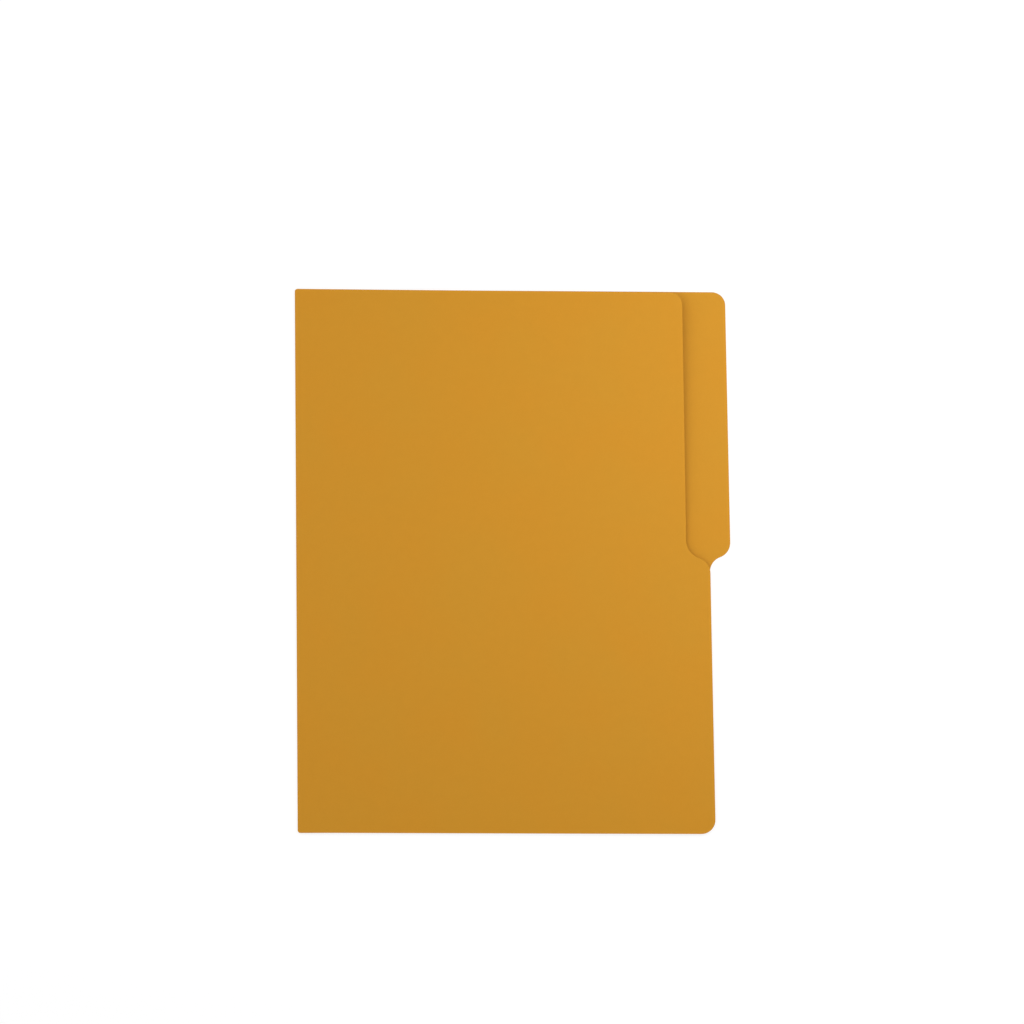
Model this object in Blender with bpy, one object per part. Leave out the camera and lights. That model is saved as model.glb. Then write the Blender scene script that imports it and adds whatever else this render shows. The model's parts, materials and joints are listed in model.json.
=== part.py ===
"""A letter-size file folder: one die-cut card, folded once, with a half-length tab on its back leaf.

Metres, +Z up. The folder lies closed on its back leaf, as it comes off a table. The fold runs along
Y at the -X side, the tab is at +X, and the head, where the tab begins, is at +Y. The origin lies on
the surface under the folder, below the middle of its box.

The real card has no cuts. Here it is four solids: the two flat leaves, and the two halves of the
round that joins them. The halves meet at the outermost line of the fold, which is the hinge axis.
"""

import math

import bpy

# Driving sizes
FOLD_LENGTH = 0.2985
BODY_WIDTH = 0.226
TAB_PROJECTION = 0.0115
TAB_EDGE = 0.1399
UNDERCUT = 0.0131
CUT_EDGE = 0.1379
CARD = 0.00036
CREASE_RADIUS = 0.0004
TAB_CORNER = 0.0073
FRONT_CORNER = 0.0068
FOOT_CORNER = 0.0078
STEP_RADIUS = 0.0088
HOLLOW_RADIUS = 0.01
REST_OPENING = math.radians(1.0)
SEAM = 0.0001

# Sizes that follow from them
FOLD_RADIUS = CREASE_RADIUS + CARD
TAB_WIDTH = BODY_WIDTH + TAB_PROJECTION
CUT_WIDTH = BODY_WIDTH - UNDERCUT
TAB_START = FOLD_LENGTH - TAB_EDGE
CUT_START = FOLD_LENGTH - CUT_EDGE

CORNER_STEPS = 10
STEP_STEPS = 6
FOLD_STEPS = 12

CARD_COLOUR = (0.61, 0.275, 0.03, 1.0)
CARD_ROUGHNESS = 0.8


def clear_scene():
    """Removes what the startup file holds."""
    for thing in list(bpy.data.objects):
        bpy.data.objects.remove(thing, do_unlink=True)


def arc(centre, radius, start, end, steps):
    """Points along an arc, both ends included; angles in radians, counterclockwise if end is larger."""
    points = []
    for i in range(steps + 1):
        angle = start + (end - start) * i / steps
        x = centre[0] + radius * math.cos(angle)
        y = centre[1] + radius * math.sin(angle)
        points.append((x, y))
    return points


def corner(x, y, radius, quarter):
    """A rounded corner of an outline. Quarter 0 turns from the foot to a side, and 1 from a side to the head."""
    centre = (x - radius, y + radius if quarter == 0 else y - radius)
    start = (quarter - 1) * math.pi / 2
    return arc(centre, radius, start, start + math.pi / 2, CORNER_STEPS)


def step_sweep(offset, radii):
    """The angle of each of two arcs that carry an edge sideways by this offset; radii is their sum."""
    return math.acos(max(0.0, 1 - offset / radii))


def step_out(narrow, wide):
    """The tab's foot: from the body's edge, outwards and up to the tab's edge.

    The point where the two arcs meet is left out, because it lies on the line between its neighbours.
    """
    radii = 2 * STEP_RADIUS
    sweep = step_sweep(wide - narrow, radii)
    low = TAB_START - radii * math.sin(sweep)
    hollow = arc((narrow + STEP_RADIUS, low), STEP_RADIUS, math.pi, math.pi - sweep, STEP_STEPS)
    round_over = arc((wide - STEP_RADIUS, TAB_START), STEP_RADIUS, -sweep, 0, STEP_STEPS)
    return hollow[:-1] + round_over[1:]


def step_in(wide, narrow):
    """The undercut's foot: from the body's edge, inwards and up to the cut-back edge, as in step_out.

    Its hollow is wider than its round.
    """
    radii = STEP_RADIUS + HOLLOW_RADIUS
    sweep = step_sweep(wide - narrow, radii)
    low = CUT_START - radii * math.sin(sweep)
    round_over = arc((wide - STEP_RADIUS, low), STEP_RADIUS, 0, sweep, STEP_STEPS)
    hollow = arc((narrow + HOLLOW_RADIUS, CUT_START), HOLLOW_RADIUS, math.pi + sweep, math.pi, STEP_STEPS)
    return round_over[:-1] + hollow[1:]


def leaf_outline(step, head_width, head_corner):
    """A leaf, flat: x from the fold's outermost line, y from its foot. The round of the fold is left out."""
    inner_edge = FOLD_RADIUS + SEAM / 2
    outline = [(inner_edge, 0)]
    outline += corner(BODY_WIDTH, 0, FOOT_CORNER, 0)
    outline += step
    outline += corner(head_width, FOLD_LENGTH, head_corner, 1)
    outline.append((inner_edge, FOLD_LENGTH))
    return outline


def fold_section():
    """Half of the fold, cut across: x from the outermost line, y down from the hinge axis."""
    centre = (FOLD_RADIUS, 0)
    section = []
    for radius, forwards in ((FOLD_RADIUS, True), (CREASE_RADIUS, False)):
        trim = math.asin(SEAM / 2 / radius)
        ends = (math.pi + trim, 1.5 * math.pi - trim)
        start, end = ends if forwards else ends[::-1]
        section += arc(centre, radius, start, end, FOLD_STEPS)
    return section


def card_material():
    material = bpy.data.materials.new("card")
    material.use_nodes = True
    shader = material.node_tree.nodes["Principled BSDF"]
    shader.inputs["Base Color"].default_value = CARD_COLOUR
    shader.inputs["Roughness"].default_value = CARD_ROUGHNESS
    shader.inputs["Metallic"].default_value = 0.0
    return material


def flat_shape(name, outline, thickness, material, collection, parent):
    """An outline in the object's XY plane, filled and thickened evenly to both sides."""
    curve = bpy.data.curves.new(name, "CURVE")
    curve.dimensions = "2D"
    curve.fill_mode = "BOTH"
    curve.extrude = thickness / 2
    spline = curve.splines.new("POLY")
    spline.points.add(len(outline) - 1)
    for point, (x, y) in zip(spline.points, outline):
        point.co = (x, y, 0, 1)
    spline.use_cyclic_u = True
    curve.materials.append(material)
    shape = bpy.data.objects.new(name, curve)
    shape.parent = parent
    collection.objects.link(shape)
    return shape


def empty(name, collection, parent=None):
    holder = bpy.data.objects.new(name, None)
    holder.parent = parent
    collection.objects.link(holder)
    return holder


def build():
    clear_scene()
    folder = bpy.data.collections.new("file_folder")
    bpy.context.scene.collection.children.link(folder)
    card = card_material()

    # The fold's foot, on the surface that the folder lies on
    fold_foot = empty("fold_foot", folder)
    fold_foot.location = (-TAB_WIDTH / 2, -FOLD_LENGTH / 2, 0)

    # The hinge axis, tilted by the little that the crease springs open
    fold_axis = empty("fold_axis", folder, fold_foot)
    fold_axis.location = (0, 0, FOLD_RADIUS)
    fold_axis.rotation_euler = (0, -REST_OPENING, 0)

    back_outline = leaf_outline(step_out(BODY_WIDTH, TAB_WIDTH), TAB_WIDTH, TAB_CORNER)
    back_leaf = flat_shape("back_leaf", back_outline, CARD, card, folder, fold_foot)
    back_leaf.location = (0, 0, CARD / 2)

    front_outline = leaf_outline(step_in(BODY_WIDTH, CUT_WIDTH), CUT_WIDTH, FRONT_CORNER)
    front_leaf = flat_shape("front_leaf", front_outline, CARD, card, folder, fold_axis)
    front_leaf.location = (0, 0, CREASE_RADIUS + CARD / 2)

    back_half = flat_shape("fold_back_half", fold_section(), FOLD_LENGTH, card, folder, fold_foot)
    back_half.location = (0, FOLD_LENGTH / 2, FOLD_RADIUS)
    back_half.rotation_euler = (math.pi / 2, 0, 0)

    # The front half is the same section turned upside down
    front_half = flat_shape("fold_front_half", fold_section(), FOLD_LENGTH, card, folder, fold_axis)
    front_half.location = (0, FOLD_LENGTH / 2, 0)
    front_half.rotation_euler = (-math.pi / 2, 0, 0)


build()
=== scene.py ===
"""A card file folder on a white floor, seen from above: its looks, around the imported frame.

Metres throughout. On the card, u runs from the fold's outermost line to the free edge, and v from the
foot to the head. The real folder is one sheet of card, so its three pieces meet face to face, and the
grain of the card runs on from one to the next.
"""

import json
import math

import bmesh
import bpy
import numpy as np
from mathutils import Matrix, Vector


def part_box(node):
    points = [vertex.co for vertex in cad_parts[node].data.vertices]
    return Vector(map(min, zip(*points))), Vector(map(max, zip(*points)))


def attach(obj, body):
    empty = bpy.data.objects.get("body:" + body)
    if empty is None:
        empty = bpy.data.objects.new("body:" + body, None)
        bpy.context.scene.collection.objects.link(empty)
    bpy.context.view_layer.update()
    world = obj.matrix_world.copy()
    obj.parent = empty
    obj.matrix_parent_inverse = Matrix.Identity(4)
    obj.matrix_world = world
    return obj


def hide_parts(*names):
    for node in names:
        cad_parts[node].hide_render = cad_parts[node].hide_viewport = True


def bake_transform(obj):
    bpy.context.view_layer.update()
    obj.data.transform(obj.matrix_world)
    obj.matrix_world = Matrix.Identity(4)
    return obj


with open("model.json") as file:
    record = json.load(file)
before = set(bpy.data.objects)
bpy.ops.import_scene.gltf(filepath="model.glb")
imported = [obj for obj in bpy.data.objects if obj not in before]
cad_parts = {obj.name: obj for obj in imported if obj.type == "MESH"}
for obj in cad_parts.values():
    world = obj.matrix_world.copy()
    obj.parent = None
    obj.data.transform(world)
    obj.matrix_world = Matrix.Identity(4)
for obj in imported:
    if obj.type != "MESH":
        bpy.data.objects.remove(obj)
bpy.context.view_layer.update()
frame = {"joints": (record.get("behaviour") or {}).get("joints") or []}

# The frame's own sizes
BACK_LOW, BACK_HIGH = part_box("back_leaf")
HINGE_X, _, FOLD_RADIUS = frame["joints"][0]["pos_m"]
FOOT_Y = BACK_LOW.y
FOLD_LENGTH = BACK_HIGH.y - BACK_LOW.y
CARD = BACK_HIGH.z - BACK_LOW.z
CREASE_RADIUS = FOLD_RADIUS - CARD
TAB_WIDTH = BACK_HIGH.x - HINGE_X

# The cut of the card
BODY_WIDTH = 0.226
UNDERCUT = 0.0131
TAB_EDGE = 0.1399
CUT_EDGE = 0.1379
TAB_CORNER = 0.0073
FRONT_CORNER = 0.0068
FOOT_CORNER = 0.0078
STEP_RADIUS = 0.0088
HOLLOW_RADIUS = 0.01
CUT_WIDTH = BODY_WIDTH - UNDERCUT
TAB_START = FOLD_LENGTH - TAB_EDGE
CUT_START = FOLD_LENGTH - CUT_EDGE

# How the front leaf lies: its gap over the back leaf along the free edge, which grows from LIFT_START
# up to the head. LIFT_EASE is how far past the fold's piece it bends to the slope it keeps
FOOT_GAP = 0.0011
HEAD_GAP = 0.0047
LIFT_START = 0.13
LIFT_BLEND = 0.02
LIFT_EASE = 0.006
# The fold isn't quite square, so the front leaf's free edge lies nearer the foot by this much
SKEW = 0.00146
# The fold's ends are crushed a little, so its corners look rounded
CRUSH = 0.0013

# Where the fold's piece ends and the leaves begin
SEAM_U = 0.0025

# The dyed card. Noise is in features per metre, and its strength is a share of the card's colour, or
# a height in metres for GRAIN_DEPTH and COCKLE. The inner side's grain lies INNER_GRAIN metres away
WARM_CARD = (0.595, 0.262, 0.018)
OLIVE_CARD = (0.582, 0.266, 0.0195)
ROUGHNESS = 0.6
GLOSS = 0.12
PATCHES = 26.0
HUE_STOPS = (0.3, 0.7)
CLOUDS = (190.0, 0.035)
PULP = (1100.0, 0.03)
FIBRES = 0.05
FIBRE_ACROSS = 5200.0
FIBRE_ALONG = 520.0
FIBRE_TURN = 1.2
FIBRE_WAVER = 0.6
FLECKS = (95.0, 0.05)
FLECK_SIZE = 0.03
GRAIN_DEPTH = 0.000012
COCKLE = (45.0, 0.00018)
INNER_GRAIN = 1.0
# Handling pales the card by its edges and along the fold; the cut edge is paler again, partly its paler
# core and partly a painted highlight
EDGE_PALING = (0.002, 0.03)
FOLD_PALING = (0.0025, 0.025)
CUT_CORE_AND_RIM_HIGHLIGHT = (0.00008, 0.05)

# The floor, a little below the folder, and the light. The room is brighter the way that ROOM_LEAN
# points, and each lamp has a name, a place, a width and a power in watts
FLOOR_REACH = 4.0
FLOOR_DROP = 0.0003
FLOOR_GREY = 0.8
FLOOR_SHADOW = 0.25
FLOOR_GLOW = 0.8
ROOM_LIGHT = 0.51
ROOM_LEAN = (-0.6, -0.75, 0)
LAMPS = (
    ("left_lamp", (-0.47, 0.15, 0.62), 0.8, 1.85),
    ("right_lamp", (0.33, 0.15, 0.3), 0.6, 1.5),
)

# The photograph's view
CAMERA_PLACE = (-0.2387, -0.4094, 2.5137)
CAMERA_AIM = (-0.0009, 0.0259, 0)
CAMERA_ROLL = math.radians(-0.76)
CAMERA_LENS = 165.2
CAMERA_SENSOR = 36
CAMERA_REACH = 20

# The mesh's fineness
CELL = 0.004
ARC_STEPS = 12
FOLD_STEPS = 24
TAIL_STEPS = 3
CRUSH_STEPS = 4
EDGE_ROWS = (0.0004, 0.001, 0.002)
ROUND_OVER = 0.00005
ROUND_OVER_STEPS = 2
SHARP = math.radians(50)


def arc(centre, radius, start, end):
    """Points along an arc, both ends included."""
    angles = np.linspace(start, end, ARC_STEPS + 1)
    return [(centre[0] + radius * math.cos(a), centre[1] + radius * math.sin(a)) for a in angles]


def run(low, high):
    """Even places strictly between two heights, no further apart than a cell."""
    count = max(1, math.ceil((high - low) / CELL))
    return [low + (high - low) * i / count for i in range(1, count)]


def free_edge(width, corner, start, hollow_radius):
    """A leaf's free edge as (u, v) points, from the foot to the head.

    Two arcs carry it from the body's width to the width that it has from start upwards.
    """
    out = 1 if width > BODY_WIDTH else -1
    low_radius, high_radius = (hollow_radius, STEP_RADIUS) if out > 0 else (STEP_RADIUS, hollow_radius)
    sweep = math.acos(1 - abs(width - BODY_WIDTH) / (low_radius + high_radius))
    low = start - (low_radius + high_radius) * math.sin(sweep)
    low_centre = (BODY_WIDTH + out * low_radius, low)
    high_centre = (width - out * high_radius, start)
    low_from, high_to = (math.pi, 0) if out > 0 else (0, math.pi)

    points = arc((BODY_WIDTH - FOOT_CORNER, FOOT_CORNER), FOOT_CORNER, -math.pi / 2, 0)
    points += [(BODY_WIDTH, v) for v in run(FOOT_CORNER, low)]
    points += arc(low_centre, low_radius, low_from, low_from - out * sweep)[:-1]
    points += arc(high_centre, high_radius, high_to - out * sweep, high_to)
    points += [(width, v) for v in run(start, FOLD_LENGTH - corner)]
    points += arc((width - corner, FOLD_LENGTH - corner), corner, 0, math.pi / 2)
    return points


def front_gap(u, v):
    """Height of the front leaf's underside over the back leaf's upper face."""

    def softened(above):
        return (above + np.sqrt(above**2 + LIFT_BLEND**2)) / 2

    lift = softened(v - LIFT_START) / softened(FOLD_LENGTH - LIFT_START)
    edge_gap = FOOT_GAP + (HEAD_GAP - FOOT_GAP) * lift
    past = np.clip(u - SEAM_U, 0, None)
    eased = np.where(past < LIFT_EASE, past**2 / (2 * LIFT_EASE), past - LIFT_EASE / 2)
    fold_gap = 2 * CREASE_RADIUS
    return fold_gap + (edge_gap - fold_gap) * eased / (CUT_WIDTH - SEAM_U - LIFT_EASE / 2)


def crushed(u, v):
    """How far the fold's crushed ends push a point away from the fold's outermost line."""
    from_end = np.minimum(v, FOLD_LENGTH - v)
    inside = np.clip(1 - from_end / CRUSH, 0, 1)
    push = CRUSH * (1 - np.sqrt(1 - inside**2))
    return push * np.clip(1 - u / SEAM_U, 0, 1)


def closed_sheet(name, upper, lower, fields, open_sides):
    """A closed sheet of card between two grids of points, as an object.

    fields holds the grids of card_plane (one for each side) and of to_edge and to_fold (one for both).
    open_sides names the sides, left or right, that meet another piece, whose rims stay square.
    """
    rows, columns = upper.shape[:2]
    count = rows * columns
    points = np.concatenate([upper.reshape(-1, 3), lower.reshape(-1, 3)])
    index = np.arange(count).reshape(rows, columns)

    faces = []
    for r in range(rows - 1):
        for c in range(columns - 1):
            quad = [index[r, c], index[r, c + 1], index[r + 1, c + 1], index[r + 1, c]]
            faces.append((quad, "face"))
            faces.append(([i + count for i in reversed(quad)], "face"))
    rim = [(index[0, c], index[0, c + 1], "cut") for c in range(columns - 1)]
    rim += [(index[-1, c + 1], index[-1, c], "cut") for c in range(columns - 1)]
    right = "seam" if "right" in open_sides else "cut"
    left = "seam" if "left" in open_sides else "cut"
    rim += [(index[r, -1], index[r + 1, -1], right) for r in range(rows - 1)]
    rim += [(index[r + 1, 0], index[r, 0], left) for r in range(rows - 1)]
    for first, second, kind in rim:
        faces.append(([second, first, first + count, second + count], kind))

    mesh = bpy.data.meshes.new(name)
    mesh.from_pydata(points.tolist(), [], [[int(i) for i in face] for face, _ in faces])
    for field in ("to_edge", "to_fold"):
        values = np.tile(fields[field].ravel(), 2).astype(np.float32)
        mesh.attributes.new(field, "FLOAT", "POINT").data.foreach_set("value", values)

    flat = np.concatenate([side.reshape(-1, 2) for side in fields["card_plane"]])
    corners = []
    for face, kind in faces:
        for i in face:
            # A rim carries on from the face over it, down through the card
            under = kind != "face" and i >= count
            corners.append(flat[i - count] + CARD if under else flat[i])
    layer = mesh.uv_layers.new(name="card_plane")
    layer.uv.foreach_set("vector", np.array(corners, np.float32).ravel())

    round_cut_edges(mesh, [kind for _, kind in faces])
    mesh.shade_smooth()
    mesh.set_sharp_from_angle(angle=SHARP)
    piece = bpy.data.objects.new(name, mesh)
    bpy.context.scene.collection.objects.link(piece)
    return piece


def round_cut_edges(mesh, kinds):
    """Rounds the card over where its faces meet a cut rim; kinds gives each face's kind."""
    build = bmesh.new()
    build.from_mesh(mesh)
    arrises = []
    for edge in build.edges:
        if {kinds[face.index] for face in edge.link_faces} == {"cut", "face"}:
            arrises.append(edge)
    bmesh.ops.bevel(
        build,
        geom=arrises,
        offset=ROUND_OVER,
        offset_type="OFFSET",
        segments=ROUND_OVER_STEPS,
        profile=0.5,
        affect="EDGES",
    )
    build.to_mesh(mesh)
    build.free()


def on_card_plane(distance, v, inner):
    """Where points lie on the unrolled sheet, whose two sides get grain of their own.

    distance runs over the card from the fold's middle, negative towards the back leaf.
    """
    return np.stack([distance + (INNER_GRAIN if inner else 0.0), v], axis=-1)


def leaf(name, edge, side, underside, skew=0.0):
    """A leaf within its free edge. side is 1 for the front and -1 for the back.

    underside(u, v) is its height, and skew is how far its free edge slides towards the foot.
    """
    edge_rows = np.array(EDGE_ROWS)
    shares = np.linspace(0, 1, math.ceil((BODY_WIDTH - SEAM_U) / CELL))[1:-1]
    near = np.concatenate([[0], edge_rows]) + SEAM_U
    rows_u = []
    for right, _ in edge:
        far = right - np.concatenate([edge_rows[::-1], [0]])
        middle = near[-1] + (far[0] - near[-1]) * shares
        rows_u.append(np.concatenate([near, middle, far]))
    u = np.array(rows_u)
    v = np.repeat(np.array([[height] for _, height in edge]), u.shape[1], axis=1)

    low = underside(u, v)
    x = HINGE_X + u
    y = FOOT_Y + v - skew * u / CUT_WIDTH
    lower = np.stack([x, y, low], axis=-1)
    upper = np.stack([x, y, low + CARD], axis=-1)
    outer_arc = math.pi * FOLD_RADIUS / 2
    inner_arc = math.pi * CREASE_RADIUS / 2
    outside = on_card_plane(side * (u - FOLD_RADIUS + outer_arc), v, False)
    inside = on_card_plane(side * (u - FOLD_RADIUS + inner_arc), v, True)
    right = u[:, -1:]
    fields = {
        "card_plane": (outside, inside) if side > 0 else (inside, outside),
        "to_edge": np.minimum(np.minimum(v, FOLD_LENGTH - v), right - u),
        "to_fold": u,
    }
    return closed_sheet(name, upper, lower, fields, ("left",))


def back_leaf():
    edge = free_edge(TAB_WIDTH, TAB_CORNER, TAB_START, STEP_RADIUS)
    return leaf("back_leaf_card", edge, -1, lambda u, v: 0 * u)


def front_leaf():
    edge = free_edge(CUT_WIDTH, FRONT_CORNER, CUT_START, HOLLOW_RADIUS)
    return leaf("front_leaf_card", edge, 1, lambda u, v: CARD + front_gap(u, v), SKEW)


def fold():
    """The round of the fold, with a short flat run at each end."""
    tail = np.linspace(SEAM_U, FOLD_RADIUS, TAIL_STEPS + 1)[:-1]
    turns = np.linspace(-math.pi / 2, math.pi / 2, FOLD_STEPS + 1)
    crush_rows = CRUSH * (1 - np.cos(np.linspace(0, math.pi / 2, CRUSH_STEPS + 1)))
    end_rows = np.unique(np.concatenate([crush_rows, EDGE_ROWS[-1:]]))
    middle_rows = run(end_rows[-1], FOLD_LENGTH - end_rows[-1])
    rows_v = np.concatenate([end_rows, middle_rows, FOLD_LENGTH - end_rows[::-1]])
    # From the back leaf, 0, up to the front leaf, 1
    rise = np.concatenate([0 * tail, (1 + np.sin(turns)) / 2, 0 * tail + 1])

    def grids(radius, inner):
        past = tail - FOLD_RADIUS + math.pi * radius / 2
        across = np.concatenate([tail, FOLD_RADIUS - radius * np.cos(turns), tail[::-1]])
        u, v = np.meshgrid(across, rows_v)
        distance = np.broadcast_to(np.concatenate([-past, radius * turns, past[::-1]]), u.shape)
        x = HINGE_X + u + crushed(u, v)
        y = FOOT_Y + v - rise * SKEW * u / CUT_WIDTH
        z = FOLD_RADIUS + radius * (2 * rise - 1) + 0 * u
        return np.stack([x, y, z], axis=-1), on_card_plane(distance, v, inner), distance, v

    outer, outer_plane, distance, v = grids(FOLD_RADIUS, False)
    inner, inner_plane, _, _ = grids(CREASE_RADIUS, True)
    fields = {
        "card_plane": (outer_plane, inner_plane),
        "to_edge": np.minimum(v, FOLD_LENGTH - v),
        "to_fold": np.abs(distance),
    }
    return closed_sheet("fold_card", outer, inner, fields, ("left", "right"))


def add(tree, kind, inputs=None, **settings):
    """A new node. inputs gives each named input a plain value, or another node's output to link it to."""
    made = tree.nodes.new(kind)
    for name, value in settings.items():
        setattr(made, name, value)
    for name, value in (inputs or {}).items():
        if isinstance(value, bpy.types.NodeSocket):
            tree.links.new(value, made.inputs[name])
        else:
            made.inputs[name].default_value = value
    return made


def maths(tree, operation, *values):
    """The output of a Math node."""
    return add(tree, "ShaderNodeMath", dict(enumerate(values)), operation=operation).outputs[0]


def noise(tree, plane, scale, detail=2.0, distortion=0.0):
    """Noise about zero, mostly within a quarter of it."""
    inputs = {"Vector": plane, "Scale": scale, "Detail": detail, "Distortion": distortion}
    made = add(tree, "ShaderNodeTexNoise", inputs)
    return maths(tree, "SUBTRACT", made.outputs["Fac"], 0.5)


def fibre_noise(tree, plane, turn):
    """Noise drawn out into fibres, which run the way of the fold turned by an angle."""
    inputs = {"Vector": plane, "Rotation": (0, 0, turn), "Scale": (FIBRE_ACROSS, FIBRE_ALONG, 1)}
    drawn = add(tree, "ShaderNodeMapping", inputs, vector_type="POINT")
    return noise(tree, drawn.outputs[0], 1.0, distortion=FIBRE_WAVER)


def faded(tree, value, reach, strength):
    """The strength where a value is 0, fading out to nothing where the value comes to its reach."""
    inputs = {"Value": value, "From Min": 0.0, "From Max": reach, "To Min": strength, "To Max": 0.0}
    return add(tree, "ShaderNodeMapRange", inputs, interpolation_type="SMOOTHSTEP").outputs["Result"]


def card_material():
    """Dyed card: fine fibres in a cloudy pulp, a little paler where it is handled, and paler at the cut,
    partly its core and partly a painted highlight.
    """
    material = bpy.data.materials.new("card")
    material.use_nodes = True
    tree = material.node_tree
    shader = tree.nodes["Principled BSDF"]
    shader.inputs["Roughness"].default_value = ROUGHNESS
    shader.inputs["Specular IOR Level"].default_value = GLOSS
    plane = add(tree, "ShaderNodeUVMap", uv_map="card_plane").outputs["UV"]
    to_edge = add(tree, "ShaderNodeAttribute", attribute_name="to_edge").outputs["Fac"]
    to_fold = add(tree, "ShaderNodeAttribute", attribute_name="to_fold").outputs["Fac"]

    patches = maths(tree, "ADD", noise(tree, plane, PATCHES, 1.0), 0.5)
    hue = add(tree, "ShaderNodeValToRGB", {"Fac": patches})
    for stop, place, colour in zip(hue.color_ramp.elements, HUE_STOPS, (OLIVE_CARD, WARM_CARD)):
        stop.position = place
        stop.color = (*colour, 1)

    pulp = noise(tree, plane, PULP[0])
    along = fibre_noise(tree, plane, 0.0)
    across = fibre_noise(tree, plane, FIBRE_TURN)
    fibres = maths(tree, "ADD", along, across)
    specks = add(tree, "ShaderNodeTexVoronoi", {"Vector": plane, "Scale": FLECKS[0]}).outputs["Distance"]
    tone = 1.0
    for change in (
        maths(tree, "MULTIPLY", noise(tree, plane, CLOUDS[0]), CLOUDS[1]),
        maths(tree, "MULTIPLY", pulp, PULP[1]),
        maths(tree, "MULTIPLY", fibres, FIBRES),
        faded(tree, specks, FLECK_SIZE, -FLECKS[1]),
        faded(tree, to_edge, *EDGE_PALING),
        faded(tree, to_fold, *FOLD_PALING),
        # painted highlight along the cut edge, over the cut's paler core
        faded(tree, to_edge, *CUT_CORE_AND_RIM_HIGHLIGHT),
    ):
        tone = maths(tree, "ADD", tone, change)
    inputs = {"Vector": hue.outputs["Color"], "Scale": tone}
    colour = add(tree, "ShaderNodeVectorMath", inputs, operation="SCALE").outputs["Vector"]
    tree.links.new(colour, shader.inputs["Base Color"])

    inputs = {"Height": noise(tree, plane, COCKLE[0], 1.0), "Distance": COCKLE[1]}
    cockled = add(tree, "ShaderNodeBump", inputs).outputs["Normal"]
    grain = maths(tree, "ADD", pulp, fibres)
    inputs = {"Height": grain, "Distance": GRAIN_DEPTH, "Normal": cockled}
    tree.links.new(add(tree, "ShaderNodeBump", inputs).outputs["Normal"], shader.inputs["Normal"])
    return material


def add_camera():
    """Above the folder, off to its fold and foot, as in the photograph."""
    lens = bpy.data.cameras.new("camera")
    lens.sensor_width = CAMERA_SENSOR
    lens.lens = CAMERA_LENS
    lens.clip_end = CAMERA_REACH
    camera = bpy.data.objects.new("camera", lens)
    place = Vector(CAMERA_PLACE)
    behind = (place - Vector(CAMERA_AIM)).normalized()
    right = Vector((0, 1, 0)).cross(behind).normalized()
    turn = Matrix((right, behind.cross(right), behind)).transposed().to_4x4()
    camera.matrix_world = Matrix.Translation(place) @ turn @ Matrix.Rotation(CAMERA_ROLL, 4, "Z")
    bpy.context.scene.collection.objects.link(camera)
    bpy.context.scene.camera = camera


def grey(level):
    return (level, level, level, 1)


def shown_white(tree, plain, white):
    """The white shader for what the camera, gloss and glass see, and the plain one for all other light."""
    path = add(tree, "ShaderNodeLightPath").outputs
    seen = maths(tree, "MAXIMUM", path["Is Camera Ray"], path["Is Glossy Ray"])
    seen = maths(tree, "MAXIMUM", seen, path["Is Transmission Ray"])
    return add(tree, "ShaderNodeMixShader", {0: seen, 1: plain, 2: white}).outputs[0]


def add_floor():
    """A wide white floor, which keeps a faint shadow."""
    mesh = bpy.data.meshes.new("floor")
    sides = ((-1, -1), (1, -1), (1, 1), (-1, 1))
    corners = [(x * FLOOR_REACH, y * FLOOR_REACH, -FLOOR_DROP) for x, y in sides]
    mesh.from_pydata(corners, [], [(0, 1, 2, 3)])
    floor = bpy.data.objects.new("floor", mesh)
    bpy.context.scene.collection.objects.link(floor)
    material = bpy.data.materials.new("white_floor")
    material.use_nodes = True
    tree = material.node_tree
    tree.nodes.clear()
    plain = add(tree, "ShaderNodeBsdfDiffuse", {"Color": grey(FLOOR_GREY)}).outputs[0]
    faint = add(tree, "ShaderNodeBsdfDiffuse", {"Color": grey(FLOOR_SHADOW)}).outputs[0]
    glow = add(tree, "ShaderNodeEmission", {"Strength": FLOOR_GLOW}).outputs[0]
    white = add(tree, "ShaderNodeAddShader", {0: faint, 1: glow}).outputs[0]
    add(tree, "ShaderNodeOutputMaterial", {"Surface": shown_white(tree, plain, white)})
    mesh.materials.append(material)


def light_studio():
    """A pale room, brighter past the fold and the foot, and two soft lamps, the nearer one by the tab."""
    world = bpy.data.worlds.new("studio")
    world.use_nodes = True
    tree = world.node_tree
    tree.nodes.clear()
    way = add(tree, "ShaderNodeTexCoord").outputs["Generated"]
    lean = add(tree, "ShaderNodeVectorMath", {0: way, 1: ROOM_LEAN}, operation="DOT_PRODUCT")
    strength = maths(tree, "MULTIPLY_ADD", lean.outputs["Value"], ROOM_LIGHT, ROOM_LIGHT)
    room = add(tree, "ShaderNodeBackground", {"Color": grey(1), "Strength": strength}).outputs[0]
    white = add(tree, "ShaderNodeBackground", {"Color": grey(1)}).outputs[0]
    add(tree, "ShaderNodeOutputWorld", {"Surface": shown_white(tree, room, white)})
    bpy.context.scene.world = world

    for name, place, size, power in LAMPS:
        lamp = bpy.data.lights.new(name, "AREA")
        lamp.shape = "DISK"
        lamp.size = size
        lamp.energy = power
        holder = bpy.data.objects.new(name, lamp)
        holder.location = place
        holder.rotation_euler = Vector(place).to_track_quat("Z", "Y").to_euler()
        holder.visible_camera = False
        bpy.context.scene.collection.objects.link(holder)
    bpy.context.scene.view_settings.view_transform = "Standard"


def dress_folder():
    """The three pieces of card, in the places of the frame's solids."""
    card = card_material()
    back, front, bend = back_leaf(), front_leaf(), fold()
    for piece in (back, front, bend):
        piece.data.materials.append(card)
    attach(back, "back")
    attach(front, "front")
    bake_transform(bend)
    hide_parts("back_leaf")
    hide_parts("front_leaf")
    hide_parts("fold_back_half", "fold_front_half")


def write_sizes():
    """Brings the scene up to date; no boxes or sizes are written."""
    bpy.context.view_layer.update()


add_camera()
dress_folder()
write_sizes()
add_floor()
light_studio()
